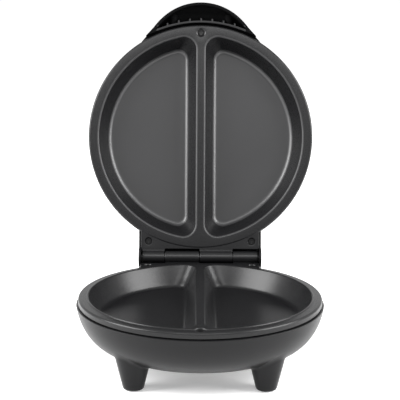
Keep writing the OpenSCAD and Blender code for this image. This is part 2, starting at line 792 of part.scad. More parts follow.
// Side view of the hinge cover, as [distance behind the axis, height above it]
cover_top = 90 - cover_slope;
cover_end = 10;
cover_reach = hinge_y - housing_front_y;
module cover_outline(r, low) {
  foot = [r * cos(cover_top), r * sin(cover_top)];
  run = (cover_reach + foot[0]) / cos(cover_slope);
  polygon([[-cover_reach, low], [-cover_reach, foot[1] + run * sin(cover_slope)], foot, [0, 0], [0, low]]);
  intersection() {
    circle(r);
    polygon([[0, 0], 2 * r * [cos(cover_end), sin(cover_end)], 2 * r * [cos(cover_top), sin(cover_top)]]);
  }
}
// Extrudes a side view along X, centred, and stands it on the hinge axis
module along_pin(width) {
  translate([-width / 2, hinge_y, hinge_z]) rotate([90, 0, 90]) linear_extrude(width) children();
}

dome_top_z = lid_rim_z + lid_depth;
lens_y = -shield_r - 5;
lens_flange_r = lens_r + 1;
handle_boss_x = 24;
handle_screw_z = lid_rim_z + 6.4;
handle_seat_y = -(plate_r - 12);
holder_post_x = 24;
holder_drop = 6;
holder_t = 1.6;
stake_r = 1.25;
module lid_casing() {
  rim_low = lid_rim_z - hinge_z;
  inner_r = cover_in;
  in_lid() color("#3a3a3c") difference() {
    union() {
      difference() {
        union() {
          translate([0, 0, lid_rim_z]) mirror([0, 0, 1])
            casing_solid(lid_rim_r, lid_depth, lid_corner_r, 0);
          along_pin(2 * housing_half) cover_outline(cover_r, rim_low);
          // Cheeks past the ends of the pin
          both_sides() translate([(cheek_in + housing_half) / 2, hinge_y, hinge_z])
            bar_x(cover_r, cheek_t);
        }
        translate([0, 0, lid_rim_z]) mirror([0, 0, 1])
          casing_solid(lid_rim_r, lid_depth, lid_corner_r, casing_wall);
        along_pin(2 * cheek_in) {
          cover_outline(inner_r, rim_low - 1);
          circle(inner_r);
        }
      }
      translate([0, 0, lid_rim_z]) mirror([0, 0, 1]) difference() {
        seat_lip(lid_rim_r, lid_depth, lid_corner_r);
        translate([-cheek_in, housing_front_y, -lid_depth])
          cube([2 * cheek_in, plate_r, lid_depth + lip_h + 1]);
      }
      // Screw bosses
      translate([0, 0, lid_rim_z]) mirror([0, 0, 1]) intersection() {
        union() {
          plate_boss(0, front_screw_y, screw_l + 3);
          shield_posts_lid();
        }
        union() {
          casing_solid(lid_rim_r, lid_depth, lid_corner_r, 0.5);
          cylinder(r = plate_r - skirt_t - 0.3, h = lip_h);
        }
      }
      intersection() {
        translate([0, 0, lid_rim_z]) mirror([0, 0, 1]) {
          plate_boss(-tab_screw_x, tab_screw_y, 30);
          plate_boss(tab_screw_x, tab_screw_y, 30);
        }
        along_pin(2 * housing_half) cover_outline(cover_r - 0.5, -10);
      }
      // Pads that the handle's screws pull against
      intersection() {
        for (x = [-handle_boss_x, handle_boss_x])
          translate([x, handle_seat_y - 7, handle_screw_z]) bar_y(4.2, 14);
        translate([0, 0, lid_rim_z]) mirror([0, 0, 1])
          casing_solid(lid_rim_r, lid_depth, lid_corner_r, 0.5);
      }
      // Posts for the lamp holder, with stakes through it
      for (x = [-holder_post_x, holder_post_x])
        translate([x, lens_y, dome_top_z - casing_wall - holder_drop]) {
          cylinder(r = 3, h = holder_drop + casing_wall / 2);
          translate([0, 0, -holder_t - 0.6]) cylinder(r = stake_r, h = holder_t + 1.6);
        }
    }
    translate([0, 0, lid_rim_z]) mirror([0, 0, 1]) plate_screw_bores(screw_l + 1);
    for (x = [-handle_boss_x, handle_boss_x])
      translate([x, handle_seat_y - 7, handle_screw_z]) bar_y(1.6, 40);
    for (x = [-lens_pitch / 2, lens_pitch / 2])
      translate([x, lens_y, dome_top_z - casing_wall - 1]) cylinder(r = lens_r + 0.1, h = casing_wall + 2);
  }
}
// Posts of the upper heat shield in the lid's rim frame
module shield_posts_lid() {
  translate([0, 0, seam_gap + skirt_h])
    shield_posts(seam_gap + skirt_h + lid_depth - casing_wall / 2);
}

// Plan of the handle: a round nose with straight sides that spread towards the lid
handle_reach = plate_r + handle_out;
module handle_plan(inset) {
  nose = handle_nose_r - inset;
  nose_y = handle_nose_r - handle_reach;
  side_l = 36;
  side_in = 0.2;
  // The sides start just inside the nose's arc, so that they cross it
  foot = [(nose - side_in) * sin(handle_nose_angle), nose_y - (nose - side_in) * cos(handle_nose_angle)];
  far = foot + side_l * [cos(handle_nose_angle), sin(handle_nose_angle)];
  translate([0, nose_y]) circle(nose);
  polygon([foot, far, [-far[0], far[1]], [-foot[0], foot[1]]]);
}

module lid_handle() {
  low_z = upper_face_z + 1;
  top_z = low_z + handle_h;
  back_r = plate_r + handle_gap;
  back_wall = 1.6;
  crown_r = 90;
  crown_y = -(plate_r - 16);
  seat_gap = 0.2;
  rib_foot = 2.4;
  rib_run = 7;
  pilot_r = 1.15;
  hollow_z = top_z - handle_wall - 4;
  in_lid() color("#161616") difference() {
    union() {
      difference() {
        intersection() {
          translate([0, 0, low_z]) linear_extrude(handle_h) handle_plan(0);
          translate([0, crown_y, top_z - crown_r]) bar_x(crown_r, 4 * handle_nose_r);
        }
        // Hollow underside
        difference() {
          intersection() {
            translate([0, 0, low_z - 1]) linear_extrude(handle_h) handle_plan(handle_wall);
            translate([0, crown_y, top_z - crown_r]) bar_x(crown_r - handle_wall, 4 * handle_nose_r);
          }
          cylinder(r = back_r + back_wall, h = 3 * lid_rim_z);
        }
      }
      intersection() {
        translate([0, crown_y, top_z - crown_r]) bar_x(crown_r - handle_wall / 2, 4 * handle_nose_r);
        translate([0, 0, low_z]) linear_extrude(handle_h) handle_plan(handle_wall / 2);
        union() {
          // Ribs against the back wall
          for (i = [0 : rib_count - 1]) {
            x = (i - (rib_count - 1) / 2) * rib_pitch;
            y = -sqrt(pow(back_r + back_wall, 2) - x * x) + 0.4;
            translate([x - rib_t / 2, y, low_z + 0.6]) rotate([90, 0, 90]) linear_extrude(rib_t)
              polygon([[0, 0], [-rib_foot, 0], [-rib_run, handle_h], [0, handle_h]]);
          }
          for (x = [-handle_boss_x, handle_boss_x])
            translate([x, -back_r - 1, handle_screw_z]) bar_y(3.6, 14);
        }
      }
    }
    // The back follows the lid's dome, and stands clear of the plate's edge below it
    translate([0, 0, lid_rim_z]) mirror([0, 0, 1])
      casing_solid(lid_rim_r, lid_depth, lid_corner_r, -seat_gap);
    translate([0, 0, low_z - 1]) cylinder(r = back_r, h = lid_rim_z + 1 - low_z + 1);
    for (x = [-handle_boss_x, handle_boss_x])
      translate([x, -back_r + 2, handle_screw_z]) bar_y(pilot_r, 17);
  }
}

module handle_screws() {
  in_lid() color("#b8b8b8") for (x = [-handle_boss_x, handle_boss_x])
    translate([x, handle_seat_y, handle_screw_z]) rotate([-90, 0, 0]) pan_screw(3, 1.8, 1.1, 19);
}

module upper_cooking_plate() {
  in_lid() color("#333436") at_upper_plate() cooking_plate([0, 2], upper_face_z - hinge_z, 0);
}
module upper_plate_screws() {
  in_lid() color("#55575a") at_upper_plate() plate_screws();
}
module upper_heating_element() {
  in_lid() color("#8d8f90") at_upper_plate() heating_element();
}
module upper_element_beads() {
  in_lid() color("#f0ece0") at_upper_plate() element_beads();
}
module upper_heat_shield() {
  in_lid() color("#c4c6c8") at_upper_plate() heat_shield();
}
module upper_shield_screws() {
  in_lid() color("#b8b8b8") at_upper_plate() shield_screws();
}

// Fuse in its sleeve, across the plate's middle
fuse_r = 2.4;
fuse_l = 30;
fuse_y = 9;
module thermal_fuse() {
  in_lid() color("#e9e4d2") at_upper_plate()
    translate([0, fuse_y, -well_back - fuse_r]) bar_x(fuse_r, fuse_l);
}
module fuse_clip() {
  clip_w = 8;
  clip_t = 1;
  in_lid() color("#b8b8b8") at_upper_plate() {
    difference() {
      translate([-clip_w / 2, -4, -well_back - 2 * fuse_r - clip_t - 0.1])
        cube([clip_w, fuse_y + 6, clip_t]);
      translate([0, 0, -well_back - 8]) cylinder(r = screw_r - shank_play, h = 9);
    }
    translate([0, 0, -well_back - 2 * fuse_r - 0.1]) difference() {
      cylinder(r = 4, h = 2 * fuse_r + 0.1);
      translate([0, 0, -1]) cylinder(r = screw_r - shank_play, h = 9);
    }
    translate([0, 0, -well_back - 2 * fuse_r - clip_t - 0.1]) mirror([0, 0, 1])
      pan_screw(2.8, 1.4, screw_r - shank_play, 2 * fuse_r + clip_t + 5);
  }
}

// Lamp lens with its flange inside the lid
module lens() {
  proud = 1.2;
  translate([0, lens_y, dome_top_z - casing_wall]) {
    translate([0, 0, -1.2]) cylinder(r = lens_flange_r, h = 1.2);
    translate([0, 0, -0.1]) cylinder(r = lens_r, h = casing_wall + 0.1);
    intersection() {
      translate([0, 0, casing_wall + proud - 2 * lens_r]) sphere(2 * lens_r);
      cylinder(r = lens_r, h = casing_wall + 2 * proud);
    }
  }
}
module power_lens() {
  in_lid() color("#c01818") translate([-lens_pitch / 2, 0, 0]) lens();
}
module ready_lens() {
  in_lid() color("#2a9a3a") translate([lens_pitch / 2, 0, 0]) lens();
}

holder_z = dome_top_z - casing_wall - holder_drop;
lamp_r = 2;
lamp_l = 9;
module lamp_holder() {
  in_lid() color("#e6e2d6") difference() {
    translate([-holder_post_x - 4, lens_y - 4, holder_z - holder_t])
      cube([2 * holder_post_x + 8, 8, holder_t]);
    for (x = [-holder_post_x, holder_post_x])
      translate([x, lens_y, holder_z - holder_t - 1]) cylinder(r = stake_r + shank_play, h = holder_t + 2);
  }
}
module neon_lamps() {
  in_lid() color("#f2a65a") for (x = [-lens_pitch / 2, lens_pitch / 2])
    translate([x, lens_y, holder_z + lamp_r]) bar_x(lamp_r, lamp_l);
}

// Each side's leads meet behind the shield's notch: from the element, the fuse and a lamp
module lid_leads() {
  ring_z = upper_face_z - tube_z;
  fuse_z = upper_face_z + well_back + fuse_r;
  over_z = dome_top_z - casing_wall - 2 * lead_r;
  meet = [12, cold_y - 15.7, over_z];
  lamp_x = lens_pitch / 2 + lamp_l / 2;
  in_lid() color("#c9b68a") both_sides() {
    lead([[end_x, end_y, ring_z], [end_x, end_y + 3.5, ring_z], [end_x + 1, end_y - 2, over_z - 3], meet],
      lead_r);
    lead([meet, [lamp_x + 2, lens_y + 13, over_z], [lamp_x + 2, lens_y, holder_z + lamp_r],
      [lamp_x, lens_y, holder_z + lamp_r]], lead_r);
    lead([[fuse_l / 2, fuse_y, fuse_z], [fuse_l / 2 + 4, fuse_y, fuse_z], [meet[0] + 2, meet[1] - 4,
      over_z - 5.5], meet], lead_r);
    translate(meet) sphere(r = lead_r + 2 * joint_swell);
  }
}

base_casing();
foot_pads();
cord_gland();
cord_clamp();
cord_clamp_screws();
terminal_block();
base_leads();
lower_heat_shield();
lower_shield_screws();
thermostat();
thermostat_screw();
lower_heating_element();
lower_element_beads();
lower_cooking_plate();
lower_plate_screws();
hinge_pin();
lid_casing();
lid_handle();
handle_screws();
upper_cooking_plate();
upper_plate_screws();
upper_heating_element();
upper_element_beads();
upper_heat_shield();
upper_shield_screws();
thermal_fuse();
fuse_clip();
power_lens();
ready_lens();
lamp_holder();
neon_lamps();
lid_leads();
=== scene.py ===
import math

import bmesh
import bpy
from mathutils import Matrix, Vector


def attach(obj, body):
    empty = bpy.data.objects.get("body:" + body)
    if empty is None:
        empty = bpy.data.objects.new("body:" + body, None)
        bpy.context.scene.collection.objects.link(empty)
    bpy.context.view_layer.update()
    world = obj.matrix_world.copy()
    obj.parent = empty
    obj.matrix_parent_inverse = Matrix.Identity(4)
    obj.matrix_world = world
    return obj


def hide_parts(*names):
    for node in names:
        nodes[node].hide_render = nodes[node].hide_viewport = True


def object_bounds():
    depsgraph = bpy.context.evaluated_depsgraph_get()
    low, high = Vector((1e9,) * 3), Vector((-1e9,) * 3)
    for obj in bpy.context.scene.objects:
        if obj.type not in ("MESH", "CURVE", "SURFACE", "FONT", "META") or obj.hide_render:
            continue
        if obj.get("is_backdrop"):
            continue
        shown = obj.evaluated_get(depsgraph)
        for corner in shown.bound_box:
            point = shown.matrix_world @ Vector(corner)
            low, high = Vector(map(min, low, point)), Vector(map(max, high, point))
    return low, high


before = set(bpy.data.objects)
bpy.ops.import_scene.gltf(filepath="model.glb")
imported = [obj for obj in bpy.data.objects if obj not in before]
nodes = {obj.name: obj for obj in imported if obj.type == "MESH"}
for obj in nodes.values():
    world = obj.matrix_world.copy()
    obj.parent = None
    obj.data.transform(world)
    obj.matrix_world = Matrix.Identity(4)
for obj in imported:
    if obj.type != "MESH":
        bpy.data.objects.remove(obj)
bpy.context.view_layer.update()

# Camera. The view looks down at the open cooker from the front, from a little
# over a metre away and a hair to the left, through a long lens with a slight roll.
# The bowl's axis stands middle_y in front of the frame's origin.
scene = bpy.context.scene
middle_y = 0.04247
view_tilt = math.radians(13.02)
view_roll = math.radians(0.34)
view_turn = math.radians(0.18)
camera = bpy.data.cameras.new("camera")
camera.sensor_fit = "HORIZONTAL"
camera.sensor_width = 36.0
camera.lens = 133.37
camera.clip_end = 20.0
camera_object = bpy.data.objects.new("camera", camera)
scene.collection.objects.link(camera_object)
camera_object.matrix_world = (
    Matrix.Translation((-0.0041, -1.1204 - middle_y, 0.3952))
    @ Matrix.Rotation(-view_turn, 4, "Z")
    @ Matrix.Rotation(math.radians(90.0) - view_tilt, 4, "X")
    @ Matrix.Rotation(view_roll, 4, "Z"))
scene.camera = camera_object
scene.view_settings.view_transform = "Standard"

# Studio. A white table in a white room: one broad soft lamp above the front, and
# one at each side that draws the edges of the dark casing. The table keeps the
# cooker's shadow, and its glow is weaker near the cooker, a painted shade round it,
# fading to plain white away from it.


def new_material(name):
    material = bpy.data.materials.new(name)
    material.use_nodes = True
    material.node_tree.nodes.clear()
    return material, material.node_tree.nodes, material.node_tree.links


def seen_directly(make, link):
    """1 for what the camera sees itself, in a reflection or through glass, else 0."""
    rays = make.new("ShaderNodeLightPath")
    sharp = make.new("ShaderNodeMath")
    sharp.operation = "MAXIMUM"
    clear = make.new("ShaderNodeMath")
    clear.operation = "MAXIMUM"
    link.new(rays.outputs["Is Camera Ray"], sharp.inputs[0])
    link.new(rays.outputs["Is Glossy Ray"], sharp.inputs[1])
    link.new(sharp.outputs[0], clear.inputs[0])
    link.new(rays.outputs["Is Transmission Ray"], clear.inputs[1])
    return clear.outputs[0]


table, make, link = new_material("table_top")
output = make.new("ShaderNodeOutputMaterial")
both = make.new("ShaderNodeAddShader")
matte = make.new("ShaderNodeBsdfDiffuse")
matte.inputs["Color"].default_value = (0.84, 0.84, 0.84, 1)
glow = make.new("ShaderNodeEmission")
where = make.new("ShaderNodeTexCoord")
away = make.new("ShaderNodeVectorMath")
away.operation = "DISTANCE"
away.inputs[1].default_value = (0.0, -middle_y, 0.0)
# The glow is weaker near the cooker than away from it: painted shade round the cooker.
painted_shade_fade = make.new("ShaderNodeMapRange")
painted_shade_fade.interpolation_type = "SMOOTHSTEP"
painted_shade_fade.inputs["From Min"].default_value = 0.03
painted_shade_fade.inputs["From Max"].default_value = 0.26
painted_shade_fade.inputs["To Min"].default_value = 0.33
painted_shade_fade.inputs["To Max"].default_value = 0.78
level = make.new("ShaderNodeMath")
level.operation = "MULTIPLY"
link.new(where.outputs["Object"], away.inputs[0])
link.new(away.outputs["Value"], painted_shade_fade.inputs["Value"])
link.new(painted_shade_fade.outputs["Result"], level.inputs[0])
link.new(seen_directly(make, link), level.inputs[1])
link.new(level.outputs[0], glow.inputs["Strength"])
link.new(matte.outputs[0], both.inputs[0])
link.new(glow.outputs[0], both.inputs[1])
link.new(both.outputs[0], output.inputs["Surface"])

bm = bmesh.new()
bmesh.ops.create_grid(bm, x_segments=1, y_segments=1, size=6.0)
table_mesh = bpy.data.meshes.new("table_top")
bm.to_mesh(table_mesh)
bm.free()
table_mesh.materials.append(table)
table_top = bpy.data.objects.new("table_top", table_mesh)
scene.collection.objects.link(table_top)
table_top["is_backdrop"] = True

world = bpy.data.worlds.new("white_room")
scene.world = world
world.use_nodes = True
make, link = world.node_tree.nodes, world.node_tree.links
make.clear()
output = make.new("ShaderNodeOutputWorld")
room = make.new("ShaderNodeBackground")
room.inputs["Color"].default_value = (1, 1, 1, 1)
seen = make.new("ShaderNodeMapRange")
seen.inputs["To Min"].default_value = 0.22
seen.inputs["To Max"].default_value = 1.0
link.new(seen_directly(make, link), seen.inputs["Value"])
link.new(seen.outputs["Result"], room.inputs["Strength"])
link.new(room.outputs[0], output.inputs["Surface"])

for name, place, aim, size, watts in (
        ("lamp_above", (0.0, -0.85, 1.00), (0.0, 0.0, 0.08), (1.0, 0.6), 9.0),
        ("lamp_left", (-1.10, -0.30, 0.70), (0.0, 0.0, 0.10), (0.8, 0.9), 32.0),
        ("lamp_right", (1.10, -0.30, 0.70), (0.0, 0.0, 0.10), (0.8, 0.9), 29.0)):
    lamp = bpy.data.lights.new(name, "AREA")
    lamp.shape = "RECTANGLE"
    lamp.size, lamp.size_y = size
    lamp.energy = watts
    lamp_object = bpy.data.objects.new(name, lamp)
    scene.collection.objects.link(lamp_object)
    turn = (Vector(aim) - Vector(place)).to_track_quat("-Z", "Y")
    lamp_object.matrix_world = Matrix.Translation(place) @ turn.to_matrix().to_4x4()

# Base casing. One injection-moulded bowl in satin dark grey plastic, with four
# tapered legs and the hinge housing at its back. Sizes are in millimetres from
# the table under the bowl's axis, and each piece is brought into the frame at its end.
side_r = 48.0
side_rise = 6.1
wall = 2.4
edge_cut = 0.3
ledge_drop = 3.5
lip_in = 91.4
lip_out = 93.2
lip_top = 2.7
lip_foot = 5.5
base_rim_r = 97.5
base_rim_z = 53.5
base_depth = 35.0
base_corner = 33.4
housing_half = 52.4
housing_back = 114.2
housing_floor = 26.0
housing_top = 53.0
housing_corner = 8.0
housing_round = 1.5
front_leg = (50.6, -52.0)
rear_leg = (37.0, 96.0)
front_fillet = 2.6
rear_fillet = 1.6
leg_tip = 7.8
leg_round = 2.6
leg_flare = math.radians(13.6)
pad_proud = 0.4
on_base = Matrix.Translation((0, -middle_y, 0)) @ Matrix.Scale(0.001, 4)


def arc(centre, radius, start, end, steps):
    """Points along an arc, from one angle to another in degrees."""
    return [(centre[0] + radius * math.cos(math.radians(start + (end - start) * i / steps)),
             centre[1] + radius * math.sin(math.radians(start + (end - start) * i / steps)))
            for i in range(steps + 1)]


def casing_arcs(rim, depth, corner):
    """Centres of the side's arc and of the bend below it, and the angle where they meet.
    Heights are taken from the rim."""
    lean = math.asin((side_rise + depth - corner) / (side_r - corner))
    side_x = rim - math.sqrt(side_r ** 2 - side_rise ** 2)
    bend_x = side_x + (side_r - corner) * math.cos(lean)
    return (side_x, side_rise), (bend_x, corner - depth), lean


def casing_section(rim, depth, corner):
    """Half section of a casing: outside, rim, the lip that carries the plate, and inside."""
    side, bend, meet = casing_arcs(rim, depth, corner)
    lean = math.degrees(meet)
    near_rim, under_lip = -7.9, -17
    section = [(0, -depth)] + arc(bend, corner, -90, -lean, 28)
    section += arc(side, side_r, -lean, near_rim, 20)[1:]
    section += [(rim - 0.03, -0.3), (rim - 0.12, -0.1), (rim - 0.35, 0)]
    section += [(rim - wall + edge_cut, 0), (rim - wall, -edge_cut), (rim - wall, 0.1 - ledge_drop)]
    section += [(lip_out, -ledge_drop), (lip_out, lip_top - edge_cut), (lip_out - edge_cut, lip_top)]
    section += [(lip_in + edge_cut, lip_top), (lip_in, lip_top - edge_cut), (lip_in, -lip_foot)]
    section += arc(side, side_r - wall, under_lip, -lean, 10)
    section += arc(bend, corner - wall, -lean, -90, 16)[1:]
    return section + [(0, wall - depth)]


def spin_section(bm, section, steps):
    """Turns a half section of (radius, height) points about the vertical axis."""
    chain = [bm.verts.new((x, 0, z)) for x, z in section]
    edges = [bm.edges.new(pair) for pair in zip(chain, chain[1:])]
    bmesh.ops.spin(bm, geom=chain + edges, axis=(0, 0, 1), cent=(0, 0, 0),
                   angle=2 * math.pi, steps=steps, use_merge=True)
    bmesh.ops.remove_doubles(bm, verts=bm.verts, dist=1e-4)


def ring_of(bm, points):
    """Closed loop of edges through the points."""
    verts = [bm.verts.new(p) for p in points]
    return [bm.edges.new((verts[i - 1], verts[i])) for i in range(len(verts))]


def join_loops(bm, loops):
    for first, second in zip(loops, loops[1:]):
        bmesh.ops.bridge_loops(bm, edges=first + second)


def round_edges(bm, edges, width):
    bmesh.ops.bevel(bm, geom=list(edges), affect="EDGES", offset=width, segments=3,
                    profile=0.5, material=-1)


def soft_block(bm, low, high, edge):
    """Block between two corners with all its edges rounded."""
    verts = bmesh.ops.create_cube(bm, size=1.0)["verts"]
    bmesh.ops.scale(bm, verts=verts, vec=[b - a for a, b in zip(low, high)])
    bmesh.ops.translate(bm, verts=verts, vec=[(a + b) / 2 for a, b in zip(low, high)])
    round_edges(bm, {e for v in verts for e in v.link_edges}, edge)


def finish_piece(bm, name, place, crease=38):
    """Welds a piece, puts it in its place, turns its faces outwards and shades it smooth."""
    bmesh.ops.remove_doubles(bm, verts=bm.verts, dist=1e-4)
    bmesh.ops.transform(bm, matrix=place, verts=bm.verts)
    bmesh.ops.recalc_face_normals(bm, faces=bm.faces)
    mesh = bpy.data.meshes.new(name)
    bm.to_mesh(mesh)
    bm.free()
    mesh.polygons.foreach_set("use_smooth", [True] * len(mesh.polygons))
    mesh.set_sharp_from_angle(angle=math.radians(crease))
    piece = bpy.data.objects.new(name, mesh)
    scene.collection.objects.link(piece)
    return piece


def grained(name, colour, roughness, grain, grain_scale, patch=0.12, metallic=0.0, specular=0.5):
    """A finish with fine grain in its bump, and slow patches in its colour and gloss."""
    material, make, link = new_material(name)
    output = make.new("ShaderNodeOutputMaterial")
    shader = make.new("ShaderNodeBsdfPrincipled")
    shader.inputs["Metallic"].default_value = metallic
    shader.inputs["Specular IOR Level"].default_value = specular
    where = make.new("ShaderNodeTexCoord")
    fine = make.new("ShaderNodeTexNoise")
    fine.inputs["Scale"].default_value = grain_scale
    fine.inputs["Detail"].default_value = 3.0
    slow = make.new("ShaderNodeTexNoise")
    slow.inputs["Scale"].default_value = 28.0
    slow.inputs["Detail"].default_value = 4.0
    link.new(where.outputs["Object"], fine.inputs["Vector"])
    link.new(where.outputs["Object"], slow.inputs["Vector"])
    tint = make.new("ShaderNodeMix")
    tint.data_type = "RGBA"
    tint.inputs["A"].default_value = tuple(c * (1 - patch) for c in colour) + (1,)
    tint.inputs["B"].default_value = tuple(c * (1 + patch) for c in colour) + (1,)
    link.new(slow.outputs["Fac"], tint.inputs["Factor"])
    link.new(tint.outputs["Result"], shader.inputs["Base Color"])
    gloss = make.new("ShaderNodeMapRange")
    gloss.inputs["From Min"].default_value = 0.3
    gloss.inputs["From Max"].default_value = 0.7
    gloss.inputs["To Min"].default_value = roughness - 0.04
    gloss.inputs["To Max"].default_value = roughness + 0.04
    link.new(fine.outputs["Fac"], gloss.inputs["Value"])
    link.new(gloss.outputs["Result"], shader.inputs["Roughness"])
    bump = make.new("ShaderNodeBump")
    bump.inputs["Strength"].default_value = grain
    bump.inputs["Distance"].default_value = 0.0001
    link.new(fine.outputs["Fac"], bump.inputs["Height"])
    link.new(bump.outputs["Normal"], shader.inputs["Normal"])
    link.new(shader.outputs[0], output.inputs["Surface"])
    return material


def bowl_height(x, y):
    """Height of the bowl's underside over a point of the table."""
    bend = casing_arcs(base_rim_r, base_depth, base_corner)[1]
    past = min(max(0.0, math.hypot(x, y) - bend[0]), base_corner)
    return base_rim_z + bend[1] - math.sqrt(base_corner ** 2 - past ** 2)


def add_leg(bm, cx, cy, fillet, underside):
    """Tapered leg with a rounded tip, flared into the surface that it hangs from.
    Its rows above the tip are numbered by their height at first, and then put in place."""
    slope = math.tan(leg_flare)
    tip_rise = leg_round * (1 - math.sin(leg_flare))
    tip_arc = leg_tip - tip_rise / math.cos(leg_flare)
    sides, flares, first_row, sunk = 14, 8, 10.0, 0.1
    section = [(0, pad_proud)]
    section += arc((tip_arc, pad_proud + leg_round), leg_round, -90, -math.degrees(leg_flare), 8)
    section += [(leg_tip, first_row + i) for i in range(1, sides + flares + 1)]
    leg = bmesh.new()
    spin_section(leg, section, 72)
    for v in leg.verts:
        if v.co.z > first_row:
            i = round(v.co.z - first_row)
            along = v.co.xy.normalized()
            t = math.radians(90 * max(0, i - sides) / flares)
            # Radius and height settle together, since the surface rises outwards
            top = 0.0
            for _ in range(5):
                r = leg_tip + (top - fillet - pad_proud) * slope + fillet * (1 - math.cos(t))
                top = underside(cx + along.x * r, cy + along.y * r)
            if i <= sides:
                start = pad_proud + tip_rise
                z = start + (top - fillet - start) * i / sides
                r = leg_tip + (z - pad_proud) * slope
            else:
                z = top - fillet * (1 - math.sin(t)) + (sunk if i == sides + flares else 0)
            v.co = (along.x * r, along.y * r, z)
    bmesh.ops.translate(leg, verts=leg.verts, vec=(cx, cy, 0))
    bmesh.ops.recalc_face_normals(leg, faces=leg.faces)
    mesh = bpy.data.meshes.new("leg")
    leg.to_mesh(mesh)
    leg.free()
    bm.from_mesh(mesh)
    bpy.data.meshes.remove(mesh)


def bowl_radius(z):
    """Radius of the bowl's outside at a height above the table."""
    side, bend, lean = casing_arcs(base_rim_r, base_depth, base_corner)
    height = z - base_rim_z
    if height > side_rise - side_r * math.sin(lean):
        return side[0] + math.sqrt(side_r ** 2 - (height - side[1]) ** 2)
    return bend[0] + math.sqrt(base_corner ** 2 - (height - bend[1]) ** 2)


def housing_loop(bm, inset, z):
    """Plan of the hinge housing: its front lies in the bowl's wall, and two back corners are round."""
    half, back, corner = housing_half - inset, housing_back - inset, housing_corner - inset
    inside_wall = 1.0
    front = bowl_radius(z) - inside_wall
    turn = math.degrees(math.asin(half / front))
    points = arc((0, 0), front, 90 + turn, 90 - turn, 24)
    points += arc((half - corner, back - corner), corner, 0, 90, 12)
    points += arc((corner - half, back - corner), corner, 90, 180, 12)
    return ring_of(bm, [(x, y, z) for x, y in points])


bm = bmesh.new()
spin_section(bm, [(r, z + base_rim_z) for r, z in casing_section(base_rim_r, base_depth, base_corner)], 224)
for side in (-1, 1):
    add_leg(bm, side * front_leg[0], front_leg[1], front_fillet, bowl_height)
    add_leg(bm, side * rear_leg[0], rear_leg[1], rear_fillet, lambda x, y: housing_floor)
loops = [housing_loop(bm, housing_round - x, housing_floor + housing_round + z)
         for x, z in arc((0, 0), housing_round, -90, 0, 6)]
loops += [housing_loop(bm, inset, z) for inset, z in (
    (0, housing_top - edge_cut), (0.1, housing_top - 0.1), (edge_cut, housing_top),
    (wall - edge_cut, housing_top), (wall, housing_top - edge_cut), (wall, housing_floor + wall))]
join_loops(bm, loops)
bmesh.ops.contextual_create(bm, geom=loops[0])
bmesh.ops.contextual_create(bm, geom=loops[-1])
deck = ((-50.8, 97.8, 50.1), (50.8, 112.0, 53.5))
upstand = ((-44.4, 111.8, 50.1), (44.4, housing_back, 58.9))
soft_block(bm, deck[0], deck[1], 0.3)
soft_block(bm, upstand[0], upstand[1], 0.5)
base_shell = finish_piece(bm, "base_shell", on_base)
satin = grained("satin_moulding", (0.008, 0.008, 0.0085), 0.33, 0.30, 1600.0, specular=0.17)
base_shell.data.materials.append(satin)
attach(base_shell, "base")
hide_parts("base_casing")

# Foot pads. Black rubber discs pressed into the tips of the legs, which keep
# the cooker from sliding on the worktop.
rubber = grained("black_rubber", (0.012, 0.012, 0.012), 0.8, 0.4, 1500.0)


def dress(material, *names):
    for name in names:
        for place in nodes[name].material_slots:
            place.material = material


dress(rubber, "foot_pads")

# Cord gland. A soft rubber grommet in the housing's back wall, snapped in by
# the groove between its two flanges, with the cord's hole through it.
gland_z = 36.0
gland_reach = 3.2
gland_bore = 3.5
gland_neck = 5.9
inner_flange = 7.0
outer_flange = 8.0
inner_round = 0.6
outer_round = 1.0
mouth_round = 0.8
half_wall = wall / 2
section = arc((gland_bore + inner_round, inner_round - gland_reach), inner_round, 180, 270, 5)
section += arc((inner_flange - inner_round, inner_round - gland_reach), inner_round, 270, 360, 5)
section += [(inner_flange, -half_wall), (gland_neck, -half_wall)]
section += [(gland_neck, half_wall), (outer_flange, half_wall)]
section += arc((outer_flange - outer_round, gland_reach - outer_round), outer_round, 0, 90, 6)
section += arc((gland_bore + mouth_round, gland_reach - mouth_round), mouth_round, 90, 180, 6)
section += [(gland_bore, inner_round - gland_reach)]
bm = bmesh.new()
spin_section(bm, section, 96)
gland = finish_piece(bm, "gland", on_base @ Matrix.Translation((0, housing_back - half_wall, gland_z))
                     @ Matrix.Rotation(math.radians(-90), 4, "X"))
gland.data.materials.append(rubber)
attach(gland, "base")
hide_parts("cord_gland")

# Wiring of the base. A nylon cord clamp screwed to two posts, a nylon terminal
# block on the bowl's floor, and sleeved leads to the element and the thermostat.
nylon = grained("natural_nylon", (0.70, 0.68, 0.60), 0.5, 0.2, 1500.0)
zinc = grained("zinc_plating", (0.55, 0.55, 0.56), 0.35, 0.2, 1500.0, metallic=1.0)
glass_sleeve = grained("glass_sleeve", (0.55, 0.48, 0.36), 0.8, 0.6, 3000.0)
dress(nylon, "cord_clamp", "terminal_block")
dress(zinc, "cord_clamp_screws")
dress(glass_sleeve, "base_leads")

# Lower heater. A bent steel tube element tinted by heat, ceramic beads at its
# ends, a pressed sheet shield behind it and a ceramic thermostat on the plate.
tube = grained("heated_steel", (0.25, 0.235, 0.22), 0.5, 0.3, 1500.0, metallic=1.0)
ceramic = grained("bare_ceramic", (0.75, 0.72, 0.66), 0.8, 0.3, 1500.0)
sheet = grained("aluminised_sheet", (0.62, 0.63, 0.64), 0.42, 0.3, 900.0, metallic=1.0)
dress(tube, "lower_heating_element")
dress(ceramic, "lower_element_beads", "thermostat")
dress(sheet, "lower_heat_shield")
dress(zinc, "lower_shield_screws", "thermostat_screw")

